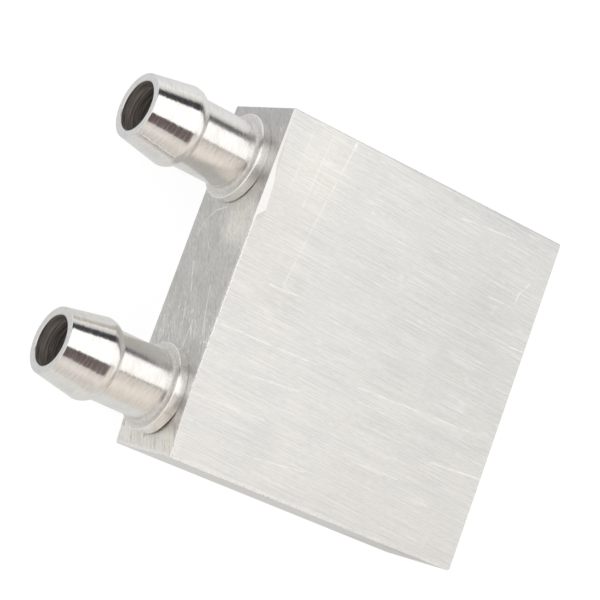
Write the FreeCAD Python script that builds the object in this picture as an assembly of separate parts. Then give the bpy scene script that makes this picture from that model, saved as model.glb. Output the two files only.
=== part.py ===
import FreeCAD, Part
import math
import os

# Liquid cooling cold plate, 40 x 40 x 12 mm. All sizes are in millimetres.
# +Z is up through the thickness, the two hose barbs point along -Y, and the origin is the middle of
# the contact face, the 40 x 40 underside that is clamped to the chip.

# Block: an aluminium extrusion closed by two brazed end plates, ground flush all round.
WIDTH = 40.0                    # X, across the two ports
DEPTH = 40.0                    # Y, from the port face to the rear face
THICKNESS = 12.0                # Z
FRONT_PLATE = 5.0               # end plate that carries the barbs
REAR_PLATE = 3.0                # blind end plate
LEAN_X = 0.012                  # the sides are ground a little out of square with the contact face:
LEAN_Y = 0.018                  # how far each leans towards +X and +Y for each millimetre of Z
REAR_SKEW = 0.3                 # the rear face stands this much further back on the right
ROLL_OFF_X = 8.0                # the belt rolls off the port face from here to the right corner
ROLL_OFF_RADIUS = 150.0
REAR_CORNER_RADIUS = 0.3
FRONT_CORNER_RADIUS = 0.2
EDGE_BREAK = 0.06               # chamfer on the edges of the two large faces

# Dressed flat on the upper front edge: a shallow bevel that widens away from the left corner.
FLAT_START_WIDTH = 0.15
FLAT_END_WIDTH = 1.05
FLAT_END_DEPTH = 0.16
FLAT_END_X = -7.6
FLAT_RUNOUT = 1.4               # the bevel's far end is cut askew by this much

# Water path: two banks of channels beside a central rib, joined behind it.
WALL = 2.0                      # above, below and beside the channels
PARTITION = 3.0                 # central rib between the two banks
RIB = 1.2
CHANNELS_PER_BANK = 5
FRONT_PLENUM = 3.5              # length of the space between the front plate and the ribs
REAR_PLENUM = 3.5               # the same at the rear, where the water turns back
PLENUM_CORNER_RADIUS = 1.0

# Hose barb, turned in one piece. Heights are measured outwards from the collar's seat.
BORE_RADIUS = 2.88
SPIGOT_RADIUS = 3.5
SPIGOT_LENGTH = 4.6
SPIGOT_CHAMFER = 0.3
COLLAR_RADIUS = 5.05
COLLAR_THICKNESS = 1.15
COLLAR_EDGE = 0.12
SHANK_RADIUS = 4.04
SHANK_FILLET = 0.45
SHOULDER_START = 7.72           # where the shoulder rises from the shank
SHOULDER_RADIUS = 4.72          # widest part of the head
SHOULDER_HEIGHT = 9.22          # height of that widest part
TIP_HEIGHT = 14.42
TIP_RADIUS = 3.82
TIP_EDGE = 0.16                 # chamfer round the outside of the tip
BORE_CHAMFER = 0.1

# Ports, seen from the barbs' side: centre on the port face, and the lean of the axis off -Y as the
# rise along X and Z for each millimetre outwards. The holes are drilled by hand, so the two differ.
PORTS = {
    "hose_barb_left": {"x": -13.62, "z": 5.25, "lean_x": -0.014, "lean_z": 0.024},
    "hose_barb_right": {"x": 13.21, "z": 5.88, "lean_x": -0.020, "lean_z": 0.030},
}

HALF_WIDTH = WIDTH / 2
HALF_DEPTH = DEPTH / 2
FRONT_JOINT_Y = -HALF_DEPTH + FRONT_PLATE
REAR_JOINT_Y = HALF_DEPTH - REAR_PLATE
BANK_WIDTH = HALF_WIDTH - WALL - PARTITION / 2
CHANNEL_WIDTH = (BANK_WIDTH - RIB * (CHANNELS_PER_BANK - 1)) / CHANNELS_PER_BANK
CHANNEL_HEIGHT = THICKNESS - 2 * WALL
SEAT_CLEARANCE = 0.01           # keeps the collar off the face by less than a burr


def point(x, y, z=0.0):
    return FreeCAD.Vector(x, y, z)


def roll_off(x):
    """How far the port face has fallen back at a given X, at mid thickness."""
    beyond = max(0.0, x - ROLL_OFF_X)
    return ROLL_OFF_RADIUS - math.sqrt(ROLL_OFF_RADIUS ** 2 - beyond ** 2)


def port_face_y(x, z):
    """Y of the leaning port face at a given place."""
    rise = z - THICKNESS / 2
    return -HALF_DEPTH + LEAN_Y * rise + roll_off(x - LEAN_X * rise)


def slab(y_low, y_high):
    """A block wider and taller than the cold plate between two planes across Y."""
    margin = 5.0
    size = (WIDTH + 2 * margin, y_high - y_low, THICKNESS + 2 * margin)
    return Part.makeBox(*size, point(-HALF_WIDTH - margin, y_low, -margin))


def rounded_prism(x_low, x_high, y_low, y_high, z_low, z_high, radius):
    """A box whose edges along Y are rounded, as a milled or extruded pocket is."""
    box = Part.makeBox(x_high - x_low, y_high - y_low, z_high - z_low, point(x_low, y_low, z_low))
    along_y = [edge for edge in box.Edges if abs(edge.tangentAt(edge.FirstParameter).y) > 0.99]
    return box.makeFillet(radius, along_y)


def ground_outline():
    """Outline of the block at mid thickness: straight sides, and an arc where the port face rolls off."""
    left = point(-HALF_WIDTH, -HALF_DEPTH)
    roll_start = point(ROLL_OFF_X, -HALF_DEPTH)
    middle_x = (ROLL_OFF_X + HALF_WIDTH) / 2
    roll_middle = point(middle_x, -HALF_DEPTH + roll_off(middle_x))
    right = point(HALF_WIDTH, -HALF_DEPTH + roll_off(HALF_WIDTH))
    rear_right = point(HALF_WIDTH, HALF_DEPTH)
    rear_left = point(-HALF_WIDTH, HALF_DEPTH - REAR_SKEW)
    return Part.Wire([
        Part.makeLine(left, roll_start),
        Part.Arc(roll_start, roll_middle, right).toShape(),
        Part.makeLine(right, rear_right),
        Part.makeLine(rear_right, rear_left),
        Part.makeLine(rear_left, left),
    ])


def dressed_flat():
    """Wedge removed by the grinder along the upper front edge, from the left corner inwards."""
    overcut = 1.0

    def section(x_front, x_rear, width, depth):
        top = THICKNESS
        front = port_face_y(x_front, top)
        rear = port_face_y(x_rear, top) + width
        slope = depth / width
        return Part.makePolygon([
            point(x_rear, rear, top),
            point(x_rear, rear, top + overcut),
            point(x_front, front - overcut, top + overcut),
            point(x_front, front - overcut, top - depth - slope * overcut),
            point(x_rear, rear, top),
        ])

    start_x = -HALF_WIDTH - overcut
    start_depth = FLAT_END_DEPTH * FLAT_START_WIDTH / FLAT_END_WIDTH
    start = section(start_x, start_x, FLAT_START_WIDTH, start_depth)
    end = section(FLAT_END_X + FLAT_RUNOUT, FLAT_END_X, FLAT_END_WIDTH, FLAT_END_DEPTH)
    return Part.makeLoft([start, end], True, True)


def is_upright(edge, y_side):
    """Whether an edge stands up at a corner of the block, at its front (side -1) or rear (side 1)."""
    middle = edge.CenterOfMass
    stands = abs(edge.tangentAt(edge.FirstParameter).z) > 0.99
    return stands and abs(middle.x) > HALF_WIDTH - 1 and middle.y * y_side > HALF_DEPTH - 1


def lies_level(edge):
    """Whether an edge bounds one of the two large faces."""
    low, high = edge.BoundBox.ZMin, edge.BoundBox.ZMax
    return high - low < 1e-6 and (abs(low) < 1e-6 or abs(high - THICKNESS) < 1e-6)


def block_envelope():
    """Outer form of the closed block, a little out of square, with its broken edges."""
    lean = point(LEAN_X * THICKNESS, LEAN_Y * THICKNESS, THICKNESS)
    outline = ground_outline()
    outline.translate(point(-lean.x / 2, -lean.y / 2))
    block = Part.Face(outline).extrude(lean)
    for radius, y_side in ((REAR_CORNER_RADIUS, 1), (FRONT_CORNER_RADIUS, -1)):
        corners = [edge for edge in block.Edges if is_upright(edge, y_side)]
        block = block.makeFillet(radius, corners)
    block = block.makeChamfer(EDGE_BREAK, [edge for edge in block.Edges if lies_level(edge)])
    return block.cut(dressed_flat())


def bank_start(side):
    """Lowest X of the left bank (side -1) or the right bank (side 1)."""
    return -HALF_WIDTH + WALL if side < 0 else PARTITION / 2


def water_path():
    """Everything hollow in the extrusion: channels, two front plenums and the rear turn."""
    low, high = WALL, THICKNESS - WALL
    rear_start = REAR_JOINT_Y - REAR_PLENUM
    hollow = rounded_prism(-HALF_WIDTH + WALL, HALF_WIDTH - WALL, rear_start, REAR_JOINT_Y, low, high,
                           PLENUM_CORNER_RADIUS)
    for side in (-1, 1):
        start = bank_start(side)
        plenum = rounded_prism(start, start + BANK_WIDTH, FRONT_JOINT_Y, FRONT_JOINT_Y + FRONT_PLENUM,
                               low, high, PLENUM_CORNER_RADIUS)
        hollow = hollow.fuse(plenum)
        for index in range(CHANNELS_PER_BANK):
            x_low = start + index * (CHANNEL_WIDTH + RIB)
            channel = rounded_prism(x_low, x_low + CHANNEL_WIDTH, FRONT_JOINT_Y, REAR_JOINT_Y, low, high,
                                    PLENUM_CORNER_RADIUS)
            hollow = hollow.fuse(channel)
    return hollow


def port_direction(port):
    """Unit vector along a barb's axis, pointing out of the block."""
    direction = point(port["lean_x"], -1.0, port["lean_z"])
    return direction.normalize()


def seat_centre(port):
    """Centre of the collar's flat back where it comes to rest on the port face."""
    reach = []
    for step in range(360):
        across = COLLAR_RADIUS * math.cos(math.radians(step))
        upwards = COLLAR_RADIUS * math.sin(math.radians(step))
        face = port_face_y(port["x"] + across, port["z"] + upwards)
        reach.append(face - port["lean_x"] * across - port["lean_z"] * upwards)
    return point(port["x"], min(reach) - SEAT_CLEARANCE, port["z"])


def port_hole(port):
    """Drilled hole for a barb's spigot, right through the front plate."""
    direction = port_direction(port)
    start = seat_centre(port) - direction * (FRONT_PLATE + 2.0)
    return Part.makeCylinder(SPIGOT_RADIUS, FRONT_PLATE + 4.0, start, direction)


def barb_section():
    """Half section of a barb: radius along X, height out of the block along Z."""
    def at(radius, height):
        return point(radius, 0, height)

    # The shoulder is an arc that is level with the axis at its widest point.
    rise = SHOULDER_HEIGHT - SHOULDER_START
    step = SHOULDER_RADIUS - SHANK_RADIUS
    shoulder_arc = (rise ** 2 + step ** 2) / (2 * step)
    half_sweep = math.asin(rise / shoulder_arc) / 2
    shoulder_middle = at(SHOULDER_RADIUS - shoulder_arc * (1 - math.cos(half_sweep)),
                         SHOULDER_HEIGHT - shoulder_arc * math.sin(half_sweep))

    fillet_middle = at(SHANK_RADIUS + SHANK_FILLET * (1 - math.sqrt(0.5)),
                       COLLAR_THICKNESS + SHANK_FILLET * (1 - math.sqrt(0.5)))

    corners = [
        at(BORE_RADIUS, -SPIGOT_LENGTH),
        at(SPIGOT_RADIUS - SPIGOT_CHAMFER, -SPIGOT_LENGTH),
        at(SPIGOT_RADIUS, -SPIGOT_LENGTH + SPIGOT_CHAMFER),
        at(SPIGOT_RADIUS, 0),
        at(COLLAR_RADIUS - COLLAR_EDGE, 0),
        at(COLLAR_RADIUS, COLLAR_EDGE),
        at(COLLAR_RADIUS, COLLAR_THICKNESS - COLLAR_EDGE),
        at(COLLAR_RADIUS - COLLAR_EDGE, COLLAR_THICKNESS),
        at(SHANK_RADIUS + SHANK_FILLET, COLLAR_THICKNESS),
    ]
    edges = [Part.makeLine(a, b) for a, b in zip(corners, corners[1:])]
    fillet_end = at(SHANK_RADIUS, COLLAR_THICKNESS + SHANK_FILLET)
    shoulder_foot = at(SHANK_RADIUS, SHOULDER_START)
    shoulder_top = at(SHOULDER_RADIUS, SHOULDER_HEIGHT)
    cone_end = at(TIP_RADIUS, TIP_HEIGHT - TIP_EDGE)
    tip_edge = at(TIP_RADIUS - TIP_EDGE, TIP_HEIGHT)
    tip_inner = at(BORE_RADIUS + BORE_CHAMFER, TIP_HEIGHT)
    bore_mouth = at(BORE_RADIUS, TIP_HEIGHT - BORE_CHAMFER)
    edges.append(Part.Arc(corners[-1], fillet_middle, fillet_end).toShape())
    edges.append(Part.makeLine(fillet_end, shoulder_foot))
    edges.append(Part.Arc(shoulder_foot, shoulder_middle, shoulder_top).toShape())
    edges.append(Part.makeLine(shoulder_top, cone_end))
    edges.append(Part.makeLine(cone_end, tip_edge))
    edges.append(Part.makeLine(tip_edge, tip_inner))
    edges.append(Part.makeLine(tip_inner, bore_mouth))
    edges.append(Part.makeLine(bore_mouth, corners[0]))
    return Part.Face(Part.Wire(edges))


def hose_barb(port):
    """One turned barb, standing in its port."""
    barb = barb_section().revolve(point(0, 0, 0), point(0, 0, 1), 360)
    turn = FreeCAD.Rotation(point(0, 0, 1), port_direction(port))
    barb.Placement = FreeCAD.Placement(seat_centre(port), turn)
    return barb


def build():
    envelope = block_envelope()
    front = envelope.common(slab(-DEPTH, FRONT_JOINT_Y))
    for port in PORTS.values():
        front = front.cut(port_hole(port))
    nodes = {
        "channel_body": envelope.common(slab(FRONT_JOINT_Y, REAR_JOINT_Y)).cut(water_path()),
        "front_end_plate": front,
        "rear_end_plate": envelope.common(slab(REAR_JOINT_Y, DEPTH)),
    }
    for name, port in PORTS.items():
        nodes[name] = hose_barb(port)
    return nodes


os.makedirs("parts", exist_ok=True)
for name, shape in build().items():
    solid = shape.Solids[0]
    solid.exportStep(os.path.join("parts", name + ".step"))
    print(name, "valid" if shape.isValid() else "NOT VALID", len(shape.Solids), "solid",
          round(solid.Volume, 1), "mm3")
for name, port in PORTS.items():
    seat, direction = seat_centre(port), port_direction(port)
    tip = seat + direction * TIP_HEIGHT
    print(name, "tip", [round(value, 3) for value in tip], "axis", [round(value, 5) for value in direction])
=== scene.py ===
import bpy
import bmesh
import math
from mathutils import Matrix, Vector


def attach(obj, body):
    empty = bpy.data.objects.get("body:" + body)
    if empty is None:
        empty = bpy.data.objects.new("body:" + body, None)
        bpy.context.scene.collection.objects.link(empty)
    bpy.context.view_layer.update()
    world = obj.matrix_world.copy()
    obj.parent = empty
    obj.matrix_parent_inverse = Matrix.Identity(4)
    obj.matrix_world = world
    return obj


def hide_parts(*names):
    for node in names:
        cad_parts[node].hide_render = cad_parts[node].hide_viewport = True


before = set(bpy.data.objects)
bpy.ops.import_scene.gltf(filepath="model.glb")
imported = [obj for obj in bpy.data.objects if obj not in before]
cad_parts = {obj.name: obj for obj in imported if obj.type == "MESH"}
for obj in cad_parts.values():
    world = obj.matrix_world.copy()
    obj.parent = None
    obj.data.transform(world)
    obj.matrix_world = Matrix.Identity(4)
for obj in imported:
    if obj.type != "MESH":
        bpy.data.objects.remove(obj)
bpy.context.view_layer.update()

# ---- Camera -------------------------------------------------------------------------------------
# The cold plate lies on its contact face and is looked down on from the port side, with the camera
# turned on its side so that the two barbs stand one above the other at the left.
MM = 0.001
AIM = Vector((-2.079, -7.321, 6.0)) * MM
LENS = 145.38
SENSOR_WIDTH = 36.0
CAMERA_DISTANCE = 270.13 * MM
CAMERA_AZIMUTH = math.radians(15.06)
CAMERA_ELEVATION = math.radians(57.77)
CAMERA_ROLL = math.radians(97.23)

back = Vector((
    math.sin(CAMERA_AZIMUTH) * math.cos(CAMERA_ELEVATION),
    -math.cos(CAMERA_AZIMUTH) * math.cos(CAMERA_ELEVATION),
    math.sin(CAMERA_ELEVATION),
))
level_right = Vector((math.cos(CAMERA_AZIMUTH), math.sin(CAMERA_AZIMUTH), 0.0))
level_up = back.cross(level_right)
right = level_right * math.cos(CAMERA_ROLL) + level_up * math.sin(CAMERA_ROLL)
up = back.cross(right)

camera_data = bpy.data.cameras.new("camera")
camera_data.sensor_width = SENSOR_WIDTH
camera_data.lens = LENS
camera_data.clip_start = 0.01
camera_data.clip_end = 20.0
camera = bpy.data.objects.new("camera", camera_data)
bpy.context.scene.collection.objects.link(camera)
camera.matrix_world = Matrix.Translation(AIM + back * CAMERA_DISTANCE) @ Matrix(
    (right, up, back)).transposed().to_4x4()
bpy.context.scene.camera = camera
bpy.context.scene.view_settings.view_transform = "Standard"

# ---- Studio -------------------------------------------------------------------------------------
# A white table and a white tent: light comes softly from all round, with a few darker gaps between
# the panels that only polished metal shows.
FLOOR_SIZE = 4.0
FLOOR_DROP = 0.0002
FLOOR_GREY = 0.14
FLOOR_GLOW = 0.90


def add_node(tree, kind, inputs=None, **settings):
    """A shader or geometry node with its settings, and its inputs as values or as sockets."""
    node = tree.nodes.new(kind)
    for key, value in settings.items():
        setattr(node, key, value)
    for key, value in (inputs or {}).items():
        socket = node.inputs[key]
        if isinstance(value, bpy.types.NodeSocket):
            tree.links.new(value, socket)
        else:
            socket.default_value = value
    return node


def math_node(tree, operation, *values, clamp=False):
    inputs = {index: value for index, value in enumerate(values)}
    return add_node(tree, "ShaderNodeMath", inputs, operation=operation, use_clamp=clamp).outputs[0]


def seen_directly(tree):
    """1 for what the camera, a reflection or glass sees, 0 for light falling on a matt surface."""
    path = add_node(tree, "ShaderNodeLightPath")
    seen = math_node(tree, "MAXIMUM", path.outputs["Is Camera Ray"], path.outputs["Is Glossy Ray"])
    return math_node(tree, "MAXIMUM", seen, path.outputs["Is Transmission Ray"])


world = bpy.data.worlds.new("studio")
world.use_nodes = True
world.node_tree.nodes["Background"].inputs["Color"].default_value = (1, 1, 1, 1)
bpy.context.scene.world = world

# The tent's panels in section, from the right over the top to the left: X and Z in millimetres, then
# the light they send back near the ports and far behind the block.
TENT = (
    ((250, 0), (0.70, 0.66, 0.63), (0.68, 0.63, 0.56)),
    ((230, 75), (0.68, 0.64, 0.61), (0.76, 0.70, 0.63)),
    ((190, 140), (0.84, 0.80, 0.76), (0.88, 0.81, 0.74)),
    ((146, 192), (0.68, 0.65, 0.62), (0.86, 0.80, 0.74)),
    ((138, 196), (0.17, 0.13, 0.13), (0.85, 0.79, 0.74)),
    ((110, 215), (0.14, 0.11, 0.11), (0.84, 0.78, 0.73)),
    ((50, 235), (0.12, 0.09, 0.09), (0.74, 0.69, 0.65)),
    ((38, 237), (0.10, 0.075, 0.07), (0.24, 0.23, 0.22)),
    ((25, 238), (0.08, 0.06, 0.055), (0.18, 0.17, 0.17)),
    ((23, 238), (1.22, 1.22, 1.21), (1.18, 1.16, 1.12)),
    ((-128, 108), (1.22, 1.22, 1.23), (1.15, 1.15, 1.15)),
    ((-131, 105), (0.04, 0.04, 0.05), (0.22, 0.22, 0.23)),
    ((-105, 45), (0.05, 0.05, 0.06), (0.22, 0.22, 0.22)),
    ((-115, 35), (0.70, 0.70, 0.68), (0.60, 0.58, 0.55)),
    ((-160, 0), (1.00, 1.00, 0.98), (0.88, 0.86, 0.84)),
)
TENT_Y = (-300.0, 10.0, 110.0, 500.0)
TENT_FAR_FROM = 50.0

# The table as polished metal sees it, greyer where the block and the barbs keep the light off it: X in
# millimetres, then the light sent back beside the barbs, and under and behind the block.
TABLE = (
    (-160, (0.93, 0.93, 0.94), (0.85, 0.85, 0.85)),
    (-40, (0.84, 0.85, 0.87), (0.80, 0.80, 0.80)),
    (-22, (0.76, 0.76, 0.77), (0.72, 0.72, 0.72)),
    (0, (0.72, 0.72, 0.71), (0.66, 0.66, 0.66)),
    (22, (0.74, 0.74, 0.73), (0.66, 0.66, 0.66)),
    (50, (0.76, 0.76, 0.74), (0.68, 0.68, 0.67)),
    (250, (0.80, 0.79, 0.77), (0.70, 0.69, 0.67)),
)
TABLE_Y = (-300.0, -15.0, 10.0, 500.0)
TABLE_FAR_FROM = 0.0


def reflected_panel(name, places, lights):
    """A sheet of glowing panels that only reflections see."""
    rows, columns = len(places), len(places[0])
    mesh = bpy.data.meshes.new(name)
    mesh.from_pydata(
        [place * MM for row in places for place in row], [],
        [(r * columns + i, r * columns + i + 1, (r + 1) * columns + i + 1, (r + 1) * columns + i)
         for r in range(rows - 1) for i in range(columns - 1)])
    light = mesh.color_attributes.new("light", "FLOAT_COLOR", "POINT")
    for index, value in enumerate(value for row in lights for value in row):
        light.data[index].color = (*value, 1.0)
    mesh.materials.append(panel_glow)
    panel = bpy.data.objects.new(name, mesh)
    bpy.context.scene.collection.objects.link(panel)
    panel.visible_camera = False
    panel.visible_diffuse = False
    panel.visible_shadow = False
    panel.visible_transmission = False


panel_glow = bpy.data.materials.new("panel_glow")
panel_glow.use_nodes = True
tree = panel_glow.node_tree
tree.nodes.clear()
glow = add_node(tree, "ShaderNodeEmission", {
    "Color": add_node(tree, "ShaderNodeAttribute", attribute_name="light").outputs["Color"]})
add_node(tree, "ShaderNodeOutputMaterial", {0: glow.outputs[0]})
reflected_panel("tent",
                [[Vector((x, y, z)) for (x, z), near, far in TENT] for y in TENT_Y],
                [[near if y < TENT_FAR_FROM else far for place, near, far in TENT] for y in TENT_Y])
reflected_panel("table_reflection",
                [[Vector((x, y, 0.0)) for x, near, far in TABLE] for y in TABLE_Y],
                [[near if y < TABLE_FAR_FROM else far for x, near, far in TABLE] for y in TABLE_Y])

floor_mesh = bpy.data.meshes.new("floor")
half = FLOOR_SIZE / 2
floor_mesh.from_pydata(
    [(-half, -half, 0), (half, -half, 0), (half, half, 0), (-half, half, 0)], [], [(0, 1, 2, 3)])
floor = bpy.data.objects.new("floor", floor_mesh)
bpy.context.scene.collection.objects.link(floor)
white_table = bpy.data.materials.new("white_table")
white_table.use_nodes = True
tree = white_table.node_tree
tree.nodes.clear()
diffuse = add_node(tree, "ShaderNodeBsdfDiffuse", {"Color": (FLOOR_GREY, FLOOR_GREY, FLOOR_GREY, 1)})
glow = add_node(tree, "ShaderNodeEmission", {
    "Color": (1, 1, 1, 1), "Strength": math_node(tree, "MULTIPLY", seen_directly(tree), FLOOR_GLOW)})
both = add_node(tree, "ShaderNodeAddShader", {0: diffuse.outputs[0], 1: glow.outputs[0]})
add_node(tree, "ShaderNodeOutputMaterial", {0: both.outputs[0]})
floor_mesh.materials.append(white_table)
floor.location = (0, 0, -FLOOR_DROP)

# ---- Block --------------------------------------------------------------------------------------
# The channelled extrusion and its two brazed end plates are plain aluminium, ground flush together on
# a belt, so one grain runs over all three on the large faces, and another on the port face.
HALF_WIDTH = 20.0
THICKNESS = 12.0
LEAN_X = 0.012
LEAN_Y = 0.018
ROLL_OFF_X = 8.0
ROLL_OFF_RADIUS = 150.0
EDGE_HIGHLIGHT_SILVER = (0.90, 0.895, 0.88, 1)
BRIGHT = (0.98, 0.975, 0.96, 1)
LARGE_TONES = (0.632, 0.627, 0.611, 1), (0.776, 0.771, 0.751, 1)
PORT_TONES = (0.60, 0.592, 0.575, 1), (0.785, 0.775, 0.753, 1)
SIDE_TONES = (0.74, 0.735, 0.71, 1), (0.84, 0.835, 0.81, 1)
EDGE_TONES = (0.60, 0.59, 0.57, 1), BRIGHT
DRESSED_HIGHLIGHT_TONE = (0.90, 0.89, 0.868, 1)
DRESSED_FRONT_Y = -19.89


def port_face_y(x, z):
    """Y of the port face in millimetres: it leans, and rolls off towards the right corner."""
    above_middle = z - THICKNESS / 2
    beyond = max(0.0, x - LEAN_X * above_middle - ROLL_OFF_X)
    roll_off_centre = -HALF_WIDTH + LEAN_Y * above_middle + ROLL_OFF_RADIUS
    return roll_off_centre - math.sqrt(ROLL_OFF_RADIUS ** 2 - beyond ** 2)


def vector_node(tree, operation, *values, output=0):
    """A vector sum; output 1 is the one that gives a number, such as a length."""
    inputs = {index: value for index, value in enumerate(values)}
    return add_node(tree, "ShaderNodeVectorMath", inputs, operation=operation).outputs[output]


def blend(tree, amount, first, second, mode="MIX"):
    """Two colours laid over each other by an amount from 0 to 1."""
    node = add_node(tree, "ShaderNodeMix", data_type="RGBA", blend_type=mode)
    for socket, value in ((node.inputs[0], amount), (node.inputs[6], first), (node.inputs[7], second)):
        if isinstance(value, bpy.types.NodeSocket):
            tree.links.new(value, socket)
        else:
            socket.default_value = value
    return node.outputs[2]


def ramp_between(tree, value, low, high, start=0.0, end=1.0):
    """One value below low, another above high and a smooth change between them."""
    return add_node(tree, "ShaderNodeMapRange", {
        "Value": value, "From Min": low, "From Max": high, "To Min": start, "To Max": end},
        interpolation_type="SMOOTHSTEP").outputs[0]


def product(tree, *values):
    result = values[0]
    for value in values[1:]:
        result = math_node(tree, "MULTIPLY", result, value)
    return result


def noise(tree, place, scale, detail, roughness=0.5):
    return add_node(tree, "ShaderNodeTexNoise", {
        "Vector": place, "Scale": scale, "Detail": detail, "Roughness": roughness}).outputs[0]


def grain(tree, place, across, along, detail, seed, depth=1.0):
    """Noise drawn out along Y: how many lines lie in a millimetre across and along the grain."""
    stretched = vector_node(tree, "MULTIPLY", place, (across, along, depth))
    return add_node(tree, "ShaderNodeTexNoise", {
        "Vector": stretched, "W": seed, "Scale": 1.0, "Detail": detail, "Roughness": 0.6},
        noise_dimensions="4D").outputs[0]


def turned_by(tree, place, degrees):
    """Places turned about Z, so that a grain laid along Y leans by as much."""
    return add_node(tree, "ShaderNodeVectorRotate", {
        "Vector": place, "Axis": (0, 0, 1), "Angle": math.radians(degrees)}).outputs[0]


def hairlines(tree, place, across, along, seed, share):
    """Fine lines along Y, only where a second noise is above the given share."""
    value = grain(tree, place, across, along, detail=0.0, seed=seed)
    from_middle = math_node(tree, "ABSOLUTE", math_node(tree, "SUBTRACT", value, 0.5))
    line = ramp_between(tree, from_middle, 0.0, 0.035, 1.0, 0.0)
    here = grain(tree, place, across / 4, along * 1.5, detail=1.0, seed=seed + 7.0)
    return product(tree, line, ramp_between(tree, here, share, share + 0.12))


def scratch(tree, place, line, unevenness):
    """One long scratch, strongest in its middle line and uneven along its length."""
    start_x, start_y, end_x, end_y, width, strength = line
    start = Vector((start_x, start_y, 0.0))
    run = Vector((end_x, end_y, 0.0)) - start
    offset = vector_node(tree, "SUBTRACT", place, start)
    share = math_node(tree, "MULTIPLY", vector_node(tree, "DOT_PRODUCT", offset, run, output=1),
                      1.0 / run.length_squared, clamp=True)
    spine = add_node(tree, "ShaderNodeVectorMath", {0: run, "Scale": share}, operation="SCALE").outputs[0]
    distance = vector_node(tree, "LENGTH", vector_node(tree, "SUBTRACT", offset, spine), output=1)
    return product(tree, ramp_between(tree, distance, width * 0.3, width, strength, 0.0), unevenness)


def patch(tree, place, centre, reach):
    """1 in the middle of a soft-edged oval, 0 outside it."""
    offset = vector_node(tree, "SUBTRACT", place, (*centre, 0.0))
    scaled = vector_node(tree, "DIVIDE", offset, (*reach, 1.0))
    return ramp_between(tree, vector_node(tree, "LENGTH", scaled, output=1), 0.25, 1.0, 1.0, 0.0)


def tinted(tree, colour, amount, tint):
    """A colour made darker or lighter by a tint, as far as the amount says."""
    return blend(tree, amount, colour, blend(tree, 1.0, colour, (*tint, 1), "MULTIPLY"))


def strongest(tree, *values):
    result = values[0]
    for value in values[1:]:
        result = math_node(tree, "MAXIMUM", result, value)
    return result


# Long scratches on the upper face: from X, Y to X, Y, then width and strength.
UPPER_SCRATCHES = (
    (4.50, 17.0, 5.05, 0.0, 0.16, 0.50), (4.65, -6.2, 4.80, -19.3, 0.15, 0.65),
    (9.0, 20.0, 9.55, 12.5, 0.15, 0.65), (12.75, 9.0, 12.9, 2.5, 0.14, 0.55),
    (12.5, -10.0, 12.7, -19.2, 0.14, 0.55), (8.1, -7.0, 8.9, -17.0, 0.15, 0.55),
    (16.0, -3.0, 16.7, -9.5, 0.15, 0.65), (-6.5, 19.6, -6.4, 17.5, 0.14, 0.6),
    (-18.0, 13.5, -17.4, 5.5, 0.15, 0.45), (-10.7, 16.5, -10.6, 12.5, 0.14, 0.5),
    (-14.0, 17.4, -12.3, 16.4, 0.16, 0.5), (-12.3, 16.4, -10.6, 16.4, 0.16, 0.45),
    (-1.4, -11.0, -1.3, -15.2, 0.14, 0.55), (-19.6, -10.9, -19.2, -11.0, 0.26, 0.8),
    (-19.6, -10.9, -11.0, -12.3, 0.17, 0.40),
    (-11.0, -12.3, -1.5, -13.6, 0.16, 0.30), (-18.8, -14.1, -10.4, -14.7, 0.16, 0.30),
    (-18.6, -16.6, -11.2, -17.0, 0.15, 0.22), (-19.0, -13.0, -12.0, -13.8, 0.15, 0.2),
)
# The same on the port face: from X, Z to X, Z, then width and strength.
PORT_SCRATCHES = (
    (1.0, 8.2, 7.5, 10.6, 0.14, 0.55), (3.8, 9.1, 7.9, 11.5, 0.15, 0.45),
    (3.2, 4.5, 7.6, 6.3, 0.13, 0.45), (-1.5, 3.0, 2.0, 4.8, 0.16, 0.55),
    (5.0, 7.3, 8.3, 7.2, 0.15, 0.55), (5.3, 1.9, 7.7, 2.0, 0.13, 0.4),
    (3.6, 5.2, 6.9, 5.4, 0.13, 0.4), (5.1, 8.0, 7.0, 8.9, 0.14, 0.5),
    (17.4, 0.7, 19.6, 2.8, 0.14, 0.5), (17.9, 4.4, 19.8, 6.2, 0.14, 0.5),
    (-8.1, 5.7, -7.6, 3.8, 0.13, 0.5), (-7.6, 3.8, -6.3, 2.3, 0.13, 0.45),
    (-6.3, 2.3, -4.4, 1.6, 0.13, 0.35), (-9.4, 10.4, -7.0, 11.8, 0.15, 0.5),
)
# Duller clouds on the large faces: the middle in X, Y, how far they reach, and how strong they are.
LARGE_CLOUDS = (
    ((15.0, -9.5), (3.4, 3.0), 0.8), ((6.0, 17.4), (1.4, 2.8), 0.9), ((-7.0, 12.5), (8.0, 6.0), 0.5),
    ((-2.5, -11.8), (2.0, 1.2), 0.8), ((-19.5, 10.0), (2.2, 16.0), 0.8),
)


def dressed_flat(tree, x, y, large_colour, tone):
    """The flat on the upper front edge, its dressed finish painted bright as a highlight: brightest where it
    is widest, and a bright line towards the left.
    """
    widening = ramp_between(tree, x, -14.5, -9.5, 0.30, 1.10)
    rounding = ramp_between(tree, x, -8.7, -7.4, 0.0, 0.85)
    width = math_node(tree, "SUBTRACT", widening, rounding)
    from_edge = math_node(tree, "SUBTRACT", y, DRESSED_FRONT_Y)
    inside = ramp_between(tree, math_node(tree, "SUBTRACT", width, from_edge), -0.08, 0.08)
    bright = product(tree, inside, ramp_between(tree, x, -19.0, -11.0, 0.45, 1.0))
    colour = tinted(tree, large_colour, 1.0, (0.95, 0.94, 0.92))
    colour = blend(tree, bright, colour, DRESSED_HIGHLIGHT_TONE)
    return tinted(tree, colour, ramp_between(tree, tone, 0.50, 0.62), (0.95, 0.95, 0.95))


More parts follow.
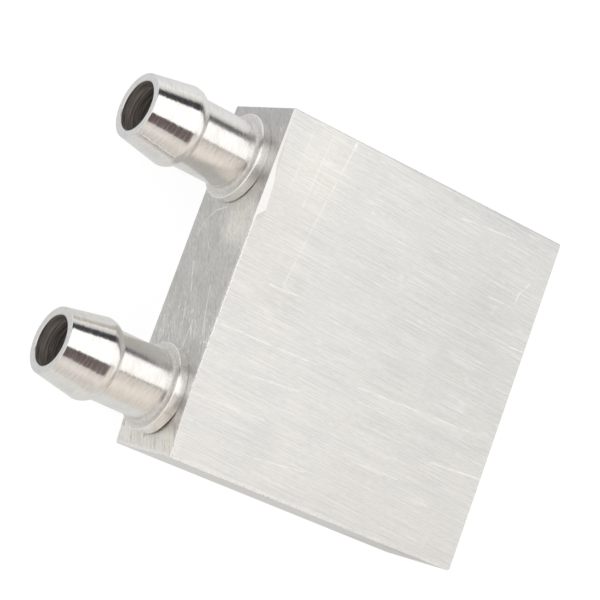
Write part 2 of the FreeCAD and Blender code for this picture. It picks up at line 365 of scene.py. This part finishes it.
def large_faces(tree, axes, speckle, is_flat):
    """Fine grain along Y that leans a few degrees, with soft clouds and long scratches."""
    x, y, z = axes
    flat = add_node(tree, "ShaderNodeCombineXYZ", {0: x, 1: y, 2: 0.0}).outputs[0]
    belt = turned_by(tree, flat, 3.0)
    fine = grain(tree, belt, across=9.0, along=1.2, detail=3.0, seed=1.0)
    drawn = grain(tree, belt, across=7.0, along=0.12, detail=3.0, seed=2.0)
    cloud = grain(tree, flat, across=0.28, along=0.20, detail=3.0, seed=4.0)
    tone = math_node(tree, "ADD", product(tree, fine, 0.4), product(tree, drawn, 0.6))
    colour = blend(tree, ramp_between(tree, tone, 0.32, 0.68), *LARGE_TONES)
    colour = tinted(tree, colour, ramp_between(tree, cloud, 0.42, 0.70), (0.965, 0.975, 0.985))

    # Painted light: the large faces are lightened towards the port face, and more towards the right end.
    towards_port = ramp_between(tree, y, HALF_WIDTH, -HALF_WIDTH, 0.97, 1.06)
    towards_right = ramp_between(tree, x, -8.0, 22.0, 1.0, 1.14)
    painted_lift = product(tree, towards_port, towards_right)
    painted_lift_grey = add_node(tree, "ShaderNodeCombineXYZ", {0: painted_lift, 1: painted_lift, 2: painted_lift}).outputs[0]
    colour = blend(tree, 1.0, colour, painted_lift_grey, "MULTIPLY")
    warm = product(tree, ramp_between(tree, y, -9.5, -13.0), ramp_between(tree, x, 12.0, -4.0))
    colour = tinted(tree, colour, warm, (1.005, 0.995, 0.985))
    colour = tinted(tree, colour, patch(tree, flat, (-15.5, -14.0), (7.0, 6.0)), (1.06, 1.055, 1.045))
    for centre, reach, strength in LARGE_CLOUDS:
        dull = product(tree, patch(tree, flat, centre, reach), strength)
        colour = tinted(tree, colour, dull, (0.94, 0.945, 0.95))

    long_lines = hairlines(tree, belt, across=2.0, along=0.07, seed=3.0, share=0.46)
    short_lines = hairlines(tree, belt, across=2.8, along=0.15, seed=21.0, share=0.42)
    marks = strongest(tree, product(tree, long_lines, 0.28), product(tree, short_lines, 0.20))
    waver = grain(tree, belt, across=0.8, along=0.7, detail=2.0, seed=11.0)
    unevenness = ramp_between(tree, waver, 0.36, 0.57, 0.2, 0.9)
    for line in UPPER_SCRATCHES:
        marks = strongest(tree, marks, scratch(tree, flat, line, unevenness))
    top_only = ramp_between(tree, z, THICKNESS - 1.0, THICKNESS - 0.5)
    colour = blend(tree, product(tree, marks, top_only), colour, BRIGHT)

    # Painted highlights: the right upper edge, the front edge beyond x -7.5 and the right front corner are
    # lightened in broken stretches.
    painted_right_rim_highlight = product(tree, ramp_between(tree, x, 19.5, 19.8), ramp_between(tree, y, 12.0, -8.0, 0.4, 1.0))
    painted_front_rim_highlight = product(tree, ramp_between(tree, y, -19.66, -19.80), ramp_between(tree, x, -7.5, -6.0))
    painted_corner_highlight = patch(tree, flat, (HALF_WIDTH, -19.4), (4.0, 1.2))
    painted_rim_highlight = strongest(tree, painted_right_rim_highlight, painted_front_rim_highlight, painted_corner_highlight)
    painted_rim_highlight = product(tree, painted_rim_highlight, ramp_between(tree, speckle, 0.40, 0.56, 0.0, 0.7))
    colour = blend(tree, painted_rim_highlight, colour, BRIGHT)
    # Painted shade: a thin darker line along the left upper edge, where it is rounded over, broken along its
    # length.
    broken = ramp_between(tree, fine, 0.38, 0.52, 0.3, 1.0)
    painted_left_rim_shade = product(tree, ramp_between(tree, x, -19.70, -19.86), broken, top_only)
    colour = tinted(tree, colour, painted_left_rim_shade, (0.80, 0.79, 0.78))
    return blend(tree, is_flat, colour, dressed_flat(tree, x, y, colour, tone)), tone


def port_face(tree, axes, speckle):
    """Coarser paper pulled askew by hand, so the lines rise towards +X; the rear face is plainer."""
    x, y, z = axes
    upright = add_node(tree, "ShaderNodeCombineXYZ", {0: x, 1: z, 2: 0.0}).outputs[0]
    strokes = turned_by(tree, upright, 62.0)
    short_strokes = turned_by(tree, upright, 36.0)
    fine = grain(tree, short_strokes, across=5.5, along=1.3, detail=3.0, seed=5.0)
    drawn = grain(tree, strokes, across=3.5, along=0.45, detail=3.0, seed=6.0)
    cloud = grain(tree, upright, across=0.45, along=0.45, detail=2.0, seed=12.0)
    tone = math_node(tree, "ADD", product(tree, fine, 0.5), product(tree, drawn, 0.5))
    rear = blend(tree, ramp_between(tree, tone, 0.32, 0.68), *PORT_TONES)
    rear = tinted(tree, rear, ramp_between(tree, cloud, 0.40, 0.68), (0.93, 0.935, 0.94))

    # Painted light: the port face is lightened beside the left barb and towards its right end.
    by_left_barb = product(tree, patch(tree, upright, (-6.6, 9.6), (4.5, 5.0)), 0.9)
    painted_port_light = strongest(tree, ramp_between(tree, x, 16.6, 18.2), by_left_barb)
    colour = tinted(tree, rear, painted_port_light, (1.34, 1.32, 1.28))
    dark_lines = hairlines(tree, strokes, across=1.3, along=0.16, seed=31.0, share=0.36)
    colour = tinted(tree, colour, product(tree, ramp_between(tree, x, 15.5, 17.5), dark_lines),
                    (0.70, 0.69, 0.67))
    # Painted light: a lighter patch towards the upper right corner of the port face.
    painted_light_upper_right = product(tree, patch(tree, upright, (17.0, 11.0), (5.0, 3.5)), 0.6)
    colour = tinted(tree, colour, painted_light_upper_right, (1.12, 1.10, 1.07))
    # Painted shade: the left end of the port face is darker, along the drawn lines.
    painted_shade_left_end = product(tree, ramp_between(tree, x, -16.5, -19.0),
                       ramp_between(tree, drawn, 0.40, 0.55, 0.5, 1.0))
    colour = tinted(tree, colour, painted_shade_left_end, (0.86, 0.86, 0.86))

    between_barbs = product(tree, ramp_between(tree, x, 2.5, 5.0), ramp_between(tree, x, 10.0, 8.0))
    worked = strongest(tree, between_barbs, ramp_between(tree, x, 16.5, 18.0))
    bright_lines = hairlines(tree, strokes, across=2.2, along=0.30, seed=8.0, share=0.36)
    short_lines = hairlines(tree, short_strokes, across=2.4, along=0.35, seed=22.0, share=0.44)
    marks = strongest(tree, product(tree, bright_lines, worked, 0.85), product(tree, short_lines, 0.42))
    waver = grain(tree, upright, across=0.9, along=0.9, detail=2.0, seed=13.0)
    unevenness = ramp_between(tree, waver, 0.34, 0.52, 0.45, 1.3)
    for line in PORT_SCRATCHES:
        marks = strongest(tree, marks, scratch(tree, upright, line, unevenness))
    # Painted highlight: the right edge is lightened in broken stretches, laid on together with the
    # scratches.
    painted_right_edge_highlight = product(tree, ramp_between(tree, x, 19.5, 19.75), ramp_between(tree, speckle, 0.36, 0.50))
    marks = math_node(tree, "MAXIMUM", marks, painted_right_edge_highlight, clamp=True)
    colour = blend(tree, marks, colour, BRIGHT)
    # Painted highlight: the upper edge of the port face is lightened in broken stretches, from the end of
    # the dressed flat to the right.
    painted_upper_rim_highlight = product(tree, ramp_between(tree, z, 11.45, 11.85), ramp_between(tree, x, -9.0, -6.0),
                        ramp_between(tree, speckle, 0.40, 0.55))
    colour = blend(tree, product(tree, painted_upper_rim_highlight, 0.9), colour, EDGE_HIGHLIGHT_SILVER)
    return blend(tree, ramp_between(tree, y, 0.0, 1.0), colour, rear), tone


def side_faces(tree, axes, speckle):
    """Sawn and lightly dressed, with the lines along Y, and dulled towards the rear on the right."""
    x, y, z = axes
    sides = add_node(tree, "ShaderNodeCombineXYZ", {0: z, 1: y, 2: 0.0}).outputs[0]
    tone = grain(tree, sides, across=3.0, along=0.5, detail=3.0, seed=9.0)
    colour = blend(tree, ramp_between(tree, tone, 0.30, 0.70), *SIDE_TONES)
    colour = tinted(tree, colour, ramp_between(tree, y, -8.0, 2.0), (1.055, 1.055, 1.055))
    dull = product(tree, ramp_between(tree, y, 9.5, 12.0), ramp_between(tree, y, 19.0, 15.5),
                   ramp_between(tree, x, 0.0, 1.0))
    colour = tinted(tree, colour, dull, (0.94, 0.92, 0.90))
    # Darker and browner in specks on the upper part of that stretch.
    browner_patch = product(tree, dull, ramp_between(tree, z, 8.5, 10.5), ramp_between(tree, speckle, 0.36, 0.58))
    colour = tinted(tree, colour, browner_patch, (0.80, 0.76, 0.72))
    # Painted highlight: the sides are lightened along their upper edges.
    painted_upper_edge_highlight = product(tree, ramp_between(tree, z, THICKNESS - 1.0, THICKNESS - 0.4), 0.5)
    return blend(tree, painted_upper_edge_highlight, colour, EDGE_HIGHLIGHT_SILVER), tone


def ground_aluminium(name):
    """Belt-ground aluminium, with its own grain on the large faces, the port face and the sides."""
    material = bpy.data.materials.new(name)
    material.use_nodes = True
    tree = material.node_tree
    shader = tree.nodes["Principled BSDF"]
    coordinates = add_node(tree, "ShaderNodeTexCoord")
    place = vector_node(tree, "MULTIPLY", coordinates.outputs["Object"], (1 / MM, 1 / MM, 1 / MM))
    axes = add_node(tree, "ShaderNodeSeparateXYZ", {0: place}).outputs
    normal = coordinates.outputs["Normal"]
    facing = add_node(tree, "ShaderNodeSeparateXYZ", {0: vector_node(tree, "ABSOLUTE", normal)}).outputs
    forwards = add_node(tree, "ShaderNodeSeparateXYZ", {0: normal}).outputs["Y"]
    is_side, is_port, is_large = [ramp_between(tree, towards, 0.80, 0.90) for towards in facing]
    is_flat = product(tree, is_large, ramp_between(tree, forwards, -0.06, -0.12))
    speckle = noise(tree, place, scale=3.0, detail=3.0, roughness=0.7)

    large_colour, large_tone = large_faces(tree, axes, speckle, is_flat)
    port_colour, port_tone = port_face(tree, axes, speckle)
    side_colour, side_tone = side_faces(tree, axes, speckle)
    # Where the faces meet, the rounded edges are bright with dark nicks.
    colour = blend(tree, ramp_between(tree, speckle, 0.36, 0.46), *EDGE_TONES)
    colour = blend(tree, is_side, colour, side_colour)
    colour = blend(tree, is_port, colour, port_colour)
    colour = blend(tree, is_large, colour, large_colour)
    tree.links.new(colour, shader.inputs["Base Color"])

    height = blend(tree, is_large, blend(tree, is_port, side_tone, port_tone), large_tone)
    bump = add_node(tree, "ShaderNodeBump", {"Height": height, "Strength": 0.25, "Distance": 0.02 * MM})
    tree.links.new(bump.outputs[0], shader.inputs["Normal"])
    even = add_node(tree, "ShaderNodeMapRange", {"Value": height, "To Min": 0.46, "To Max": 0.34})
    rough = math_node(tree, "ADD", even.outputs[0], product(tree, is_port, 0.10))
    tree.links.new(rough, shader.inputs["Roughness"])
    shader.inputs["Metallic"].default_value = 1.0
    return material


for node_name in ("channel_body", "front_end_plate", "rear_end_plate"):
    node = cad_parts[node_name]
    node.data.materials.clear()
    node.data.materials.append(ground_aluminium(node_name + "_metal"))

# ---- Burrs --------------------------------------------------------------------------------------
# Grinding has left small chips of bright metal hanging on three edges: the right-hand quarter of the
# upper front edge, the right upper edge, and the upright corner between them.
BURR_SPACING = 0.05
CHIP_SIZE = 0.035
BURR_SEED = 7
CHIPS_FROM = 0.57
MOST_SPIN = 6.28
BURR_TONES = (0.80, 0.79, 0.77, 1), BRIGHT


def half_steps(first, count):
    return [first + i * 0.5 for i in range(count)]


# The lines that the chips sit on, a few hundredths of a millimetre off each edge.
BURR_EDGES = (
    [(x, port_face_y(x, THICKNESS) + 0.035, THICKNESS - 0.045) for x in half_steps(9.0, 22)],
    [(HALF_WIDTH + 0.02, y, THICKNESS - 0.055) for y in half_steps(-19.3, 79)],
    [(19.86 + LEAN_X * z, port_face_y(19.9, z) + 0.02, z) for z in half_steps(0.2, 24)],
)


def burr_tree(material):
    """Geometry nodes that put chips of metal along each edge and leave stretches of it bare."""
    tree = bpy.data.node_groups.new("burr", "GeometryNodeTree")
    for name, kind in (("Edges", "NodeSocketGeometry"), ("Spacing", "NodeSocketFloat"),
                       ("Chip size", "NodeSocketFloat"), ("Seed", "NodeSocketInt")):
        tree.interface.new_socket(name=name, in_out="INPUT", socket_type=kind)
    tree.interface.new_socket(name="Burr", in_out="OUTPUT", socket_type="NodeSocketGeometry")
    given = add_node(tree, "NodeGroupInput").outputs
    edges = add_node(tree, "GeometryNodeMeshToCurve", {0: given["Edges"]}).outputs[0]
    spaced = add_node(tree, "GeometryNodeResampleCurve", {
        "Curve": edges, "Length": given["Spacing"]}, mode="LENGTH").outputs[0]
    chip = add_node(tree, "GeometryNodeMeshIcoSphere", {
        "Radius": given["Chip size"], "Subdivisions": 1}).outputs[0]
    where = add_node(tree, "GeometryNodeInputPosition").outputs[0]
    presence = noise(tree, where, scale=700.0, detail=2.0)
    kept = add_node(tree, "FunctionNodeCompare", {
        0: presence, 1: CHIPS_FROM}, operation="GREATER_THAN").outputs[0]
    spin = add_node(tree, "FunctionNodeRandomValue", {
        "Min": (0.0, 0.0, 0.0), "Max": (MOST_SPIN, MOST_SPIN, MOST_SPIN), "Seed": given["Seed"]},
        data_type="FLOAT_VECTOR").outputs[0]
    scale = add_node(tree, "FunctionNodeRandomValue", {
        "Min": (0.35, 0.35, 0.35), "Max": (1.0, 1.0, 1.0), "Seed": given["Seed"]},
        data_type="FLOAT_VECTOR").outputs[0]
    chips = add_node(tree, "GeometryNodeInstanceOnPoints", {
        "Points": spaced, "Selection": kept, "Instance": chip, "Rotation": spin, "Scale": scale}).outputs[0]
    real = add_node(tree, "GeometryNodeRealizeInstances", {0: chips}).outputs[0]
    done = add_node(tree, "GeometryNodeSetMaterial", {"Geometry": real, "Material": material}).outputs[0]
    add_node(tree, "NodeGroupOutput", {0: done})
    return tree


def burr_metal():
    """Torn aluminium, brighter and duller by turns from chip to chip."""
    material = bpy.data.materials.new("burr_metal")
    material.use_nodes = True
    tree = material.node_tree
    shader = tree.nodes["Principled BSDF"]
    place = add_node(tree, "ShaderNodeTexCoord").outputs["Object"]
    patches = noise(tree, place, scale=2500.0, detail=2.0)
    colour = blend(tree, ramp_between(tree, patches, 0.38, 0.60), *BURR_TONES)
    tree.links.new(colour, shader.inputs["Base Color"])
    tree.links.new(ramp_between(tree, patches, 0.3, 0.7, 0.65, 0.50), shader.inputs["Roughness"])
    bump = add_node(tree, "ShaderNodeBump", {"Height": patches, "Strength": 0.4, "Distance": 0.01 * MM})
    tree.links.new(bump.outputs[0], shader.inputs["Normal"])
    shader.inputs["Metallic"].default_value = 1.0
    return material


def grow_burrs():
    """The burr as a plain mesh: the node tree is worked out once and its modifier taken off."""
    guide = bpy.data.meshes.new("burr_guide")
    places, links = [], []
    for edge in BURR_EDGES:
        links += [(len(places) + i, len(places) + i + 1) for i in range(len(edge) - 1)]
        places += [Vector(place) * MM for place in edge]
    guide.from_pydata(places, links, [])
    burrs = bpy.data.objects.new("edge_burrs", guide)
    bpy.context.scene.collection.objects.link(burrs)
    modifier = burrs.modifiers.new("burr", "NODES")
    modifier.node_group = burr_tree(burr_metal())
    sockets = {item.name: item.identifier for item in modifier.node_group.interface.items_tree
               if item.in_out == "INPUT"}
    modifier[sockets["Spacing"]] = BURR_SPACING * MM
    modifier[sockets["Chip size"]] = CHIP_SIZE * MM
    modifier[sockets["Seed"]] = BURR_SEED
    grown = bpy.data.meshes.new_from_object(burrs.evaluated_get(bpy.context.evaluated_depsgraph_get()))
    burrs.modifiers.clear()
    burrs.data = grown
    return burrs


burrs = grow_burrs()
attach(burrs, "root")

# ---- Hose barbs ---------------------------------------------------------------------------------
# Two barbs for 8 mm hose, turned in one piece from bar and pressed into the front plate. Each has a
# collar that seats on the plate, a plain shank, a rounded shoulder and a tapered head.
BORE_RADIUS = 2.88
BORE_BREAK = 0.1
SPIGOT_RADIUS = 3.5
SPIGOT_LENGTH = 4.6
SPIGOT_BREAK = 0.3
COLLAR_RADIUS = 5.05
COLLAR_THICKNESS = 1.15
COLLAR_BREAK = 0.12
SHANK_RADIUS = 4.04
SHANK_FILLET = 0.45
SHOULDER_START = 7.72
SHOULDER_HEIGHT = 9.22
SHOULDER_RADIUS = 4.72
TIP_RADIUS = 3.82
TIP_HEIGHT = 14.42
TIP_EDGE = 0.16
BARBS = {
    "left": (Vector((-13.62, -20.101, 5.25)), Vector((-0.014, -1.0, 0.024))),
    "right": (Vector((13.21, -20.128, 5.88)), Vector((-0.020, -1.0, 0.030))),
}
# The port face falls away under the collars, so their backs are drawn towards it: nearly closed all
# round, but only about half closed on one side, beyond a distance from the axis.
CLOSED = 0.97
CLOSED_AT_GAP = 0.56
GAP_SIDE = Vector((0.93, 0.0, 0.37))
GAP_FROM = 3.4
GAP_BLEND = 1.2
LEAST_GAP = 0.015
TURNED_TONES = (0.84, 0.82, 0.79, 1), (0.92, 0.905, 0.88, 1)
COLLAR_TONES = (0.73, 0.71, 0.68, 1), (0.87, 0.855, 0.83, 1)
RIM_TONE = (0.96, 0.94, 0.91, 1)
TIP_TONES = (0.76, 0.76, 0.76, 1), (0.85, 0.85, 0.85, 1)
BORE_SHADE_TONES = (0.10, 0.08, 0.07, 1), (0.42, 0.37, 0.33, 1)


def arc(centre, radius, start, end, steps):
    """Points of an arc in the half section; angles in degrees from the radius axis."""
    angles = [math.radians(start + (end - start) * i / steps) for i in range(steps + 1)]
    return [(centre[0] + radius * math.cos(a), centre[1] + radius * math.sin(a)) for a in angles]


def barb_outline():
    """Half section of a barb, radius and height above the plate, from the spigot's end to the tip."""
    points = [
        (BORE_RADIUS, -SPIGOT_LENGTH),
        (SPIGOT_RADIUS - SPIGOT_BREAK, -SPIGOT_LENGTH),
        (SPIGOT_RADIUS, SPIGOT_BREAK - SPIGOT_LENGTH),
        (SPIGOT_RADIUS, 0.0),
        (COLLAR_RADIUS - COLLAR_BREAK, 0.0),
        (COLLAR_RADIUS, COLLAR_BREAK),
        (COLLAR_RADIUS, COLLAR_THICKNESS - COLLAR_BREAK),
        (COLLAR_RADIUS - COLLAR_BREAK, COLLAR_THICKNESS),
    ]
    points += arc((SHANK_RADIUS + SHANK_FILLET, COLLAR_THICKNESS + SHANK_FILLET), SHANK_FILLET, -90, -180, 6)
    rise, step = SHOULDER_HEIGHT - SHOULDER_START, SHOULDER_RADIUS - SHANK_RADIUS
    bend = (rise ** 2 + step ** 2) / (2 * step)
    sweep = math.degrees(math.asin(rise / bend))
    points += arc((SHOULDER_RADIUS - bend, SHOULDER_HEIGHT), bend, -sweep, 0, 10)
    points += arc((TIP_RADIUS - TIP_EDGE, TIP_HEIGHT - TIP_EDGE), TIP_EDGE, 10, 90, 5)
    points += [(BORE_RADIUS + BORE_BREAK, TIP_HEIGHT), (BORE_RADIUS, TIP_HEIGHT - BORE_BREAK)]
    return points


def bedding(place, seat):
    """How far a point on the back of a collar moves along Y to follow the port face."""
    gap = port_face_y(place.x, place.z) - place.y
    at_gap = min(1.0, max(0.0, ((place - seat).dot(GAP_SIDE) - GAP_FROM) / GAP_BLEND))
    return (CLOSED + (CLOSED_AT_GAP - CLOSED) * at_gap) * max(0.0, gap - LEAST_GAP)


def barb_mesh(name, seat, axis, segments=160, pitch=0.25):
    """The half section turned about its axis; each point keeps where it lay on the lathe."""
    outline = barb_outline()
    rings = []
    for (r0, h0), (r1, h1) in zip(outline, outline[1:] + outline[:1]):
        count = max(1, round(math.hypot(r1 - r0, h1 - h0) / pitch))
        rings += [(r0 + (r1 - r0) * i / count, h0 + (h1 - h0) * i / count) for i in range(count)]
    turn = Vector((0, 0, 1)).rotation_difference(axis).to_matrix()
    mesh = bpy.data.meshes.new(name)
    vertices, turned_places = [], []
    for radius, height in rings:
        for k in range(segments):
            angle = 2 * math.pi * k / segments
            local = Vector((radius * math.cos(angle), radius * math.sin(angle), height))
            turned_places.append(local)
            place = seat + turn @ local
            if -0.01 < height < COLLAR_BREAK + 0.01 and radius > SPIGOT_RADIUS + 0.05:
                place.y += bedding(place, seat)
            vertices.append(place * MM)
    faces = []
    for i in range(len(rings)):
        j = (i + 1) % len(rings)
        for k in range(segments):
            n = (k + 1) % segments
            faces.append((i * segments + k, i * segments + n, j * segments + n, j * segments + k))
    mesh.from_pydata(vertices, [], faces)
    lathe = mesh.attributes.new("lathe_place", "FLOAT_VECTOR", "POINT")
    for index, local in enumerate(turned_places):
        lathe.data[index].vector = local
    shape = bmesh.new()
    shape.from_mesh(mesh)
    bmesh.ops.recalc_face_normals(shape, faces=shape.faces)
    shape.to_mesh(mesh)
    shape.free()
    mesh.shade_smooth()
    mesh.set_sharp_from_angle(angle=math.radians(28))
    return mesh


def turned_metal():
    """Bright turned aluminium with the tool's rings, a matt collar and a drilled bore coloured dark brown,
    partly its own colour and partly painted shade inside the hole.
    """
    material = bpy.data.materials.new("turned_metal")
    material.use_nodes = True
    tree = material.node_tree
    shader = tree.nodes["Principled BSDF"]
    place = add_node(tree, "ShaderNodeAttribute", attribute_name="lathe_place").outputs["Vector"]
    sideways, other_way, height = add_node(tree, "ShaderNodeSeparateXYZ", {0: place}).outputs
    from_axis = add_node(tree, "ShaderNodeCombineXYZ", {0: sideways, 1: other_way, 2: 0.0}).outputs[0]
    radius = vector_node(tree, "LENGTH", from_axis, output=1)
    in_bore = product(tree, ramp_between(tree, radius, 2.96, 2.90), ramp_between(tree, height, 14.40, 14.30))
    on_collar = product(tree, ramp_between(tree, height, 2.0, 1.5), ramp_between(tree, radius, 3.6, 3.9))
    on_rim = product(tree, on_collar, ramp_between(tree, radius, 4.94, 5.0))
    on_shank = ramp_between(tree, height, 8.2, 7.4)
    on_shoulder = product(tree, ramp_between(tree, height, 7.4, 7.9), ramp_between(tree, height, 9.6, 9.1))
    on_tip = ramp_between(tree, height, 14.36, 14.41)
    rings = grain(tree, place, across=1.1, along=1.1, detail=2.0, seed=1.0, depth=3.2)
    fine_rings = grain(tree, place, across=0.8, along=0.8, detail=2.0, seed=2.0, depth=11.0)
    bore_rings = grain(tree, place, across=0.25, along=0.25, detail=3.0, seed=3.0, depth=4.5)
    speckle = noise(tree, place, scale=3.5, detail=3.0, roughness=0.7)
    smudge = noise(tree, place, scale=0.45, detail=2.0)

    colour = blend(tree, ramp_between(tree, fine_rings, 0.35, 0.65), *TURNED_TONES)
    colour = tinted(tree, colour, ramp_between(tree, smudge, 0.45, 0.68), (0.95, 0.94, 0.93))
    matt = blend(tree, ramp_between(tree, speckle, 0.35, 0.65), *COLLAR_TONES)
    colour = blend(tree, on_collar, colour, matt)
    colour = blend(tree, on_rim, colour, RIM_TONE)
    cut_end = blend(tree, ramp_between(tree, speckle, 0.40, 0.60), *TIP_TONES)
    colour = blend(tree, on_tip, colour, cut_end)
    # Painted shade: the bore is coloured dark, in rings, for the shade inside the hole.
    drilled = blend(tree, ramp_between(tree, bore_rings, 0.34, 0.68), *BORE_SHADE_TONES)
    colour = blend(tree, in_bore, colour, drilled)
    tree.links.new(colour, shader.inputs["Base Color"])

    rough = ramp_between(tree, fine_rings, 0.3, 0.7, 0.10, 0.17)
    by_fillet = product(tree, on_collar, ramp_between(tree, radius, 4.06, 4.2),
                        ramp_between(tree, radius, 4.8, 4.5))
    for extra in (
        product(tree, on_shank, 0.07),
        product(tree, on_shoulder, 0.09),
        product(tree, on_collar, ramp_between(tree, radius, 4.90, 5.00, 0.14, 0.04)),
        product(tree, on_tip, 0.20),
        product(tree, by_fillet, 0.20),
        product(tree, in_bore, 0.30),
    ):
        rough = math_node(tree, "ADD", rough, extra)
    tree.links.new(rough, shader.inputs["Roughness"])
    metallic = math_node(tree, "SUBTRACT", 1.0, product(tree, in_bore, 0.75))
    tree.links.new(metallic, shader.inputs["Metallic"])

    tooling = math_node(tree, "ADD", product(tree, rings, 0.7), product(tree, fine_rings, 0.12))
    tooling = math_node(tree, "ADD", tooling, product(tree, on_collar, speckle, 0.15))
    bump = add_node(tree, "ShaderNodeBump", {"Height": tooling, "Strength": 0.5, "Distance": 0.06 * MM})
    tree.links.new(bump.outputs[0], shader.inputs["Normal"])
    return material


turned = turned_metal()
for side, (seat, axis) in BARBS.items():
    mesh = barb_mesh("turned_barb_" + side, seat, axis.normalized())
    mesh.materials.append(turned)
    barb = bpy.data.objects.new("turned_barb_" + side, mesh)
    bpy.context.scene.collection.objects.link(barb)
    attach(barb, "root")
    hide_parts("hose_barb_" + side)
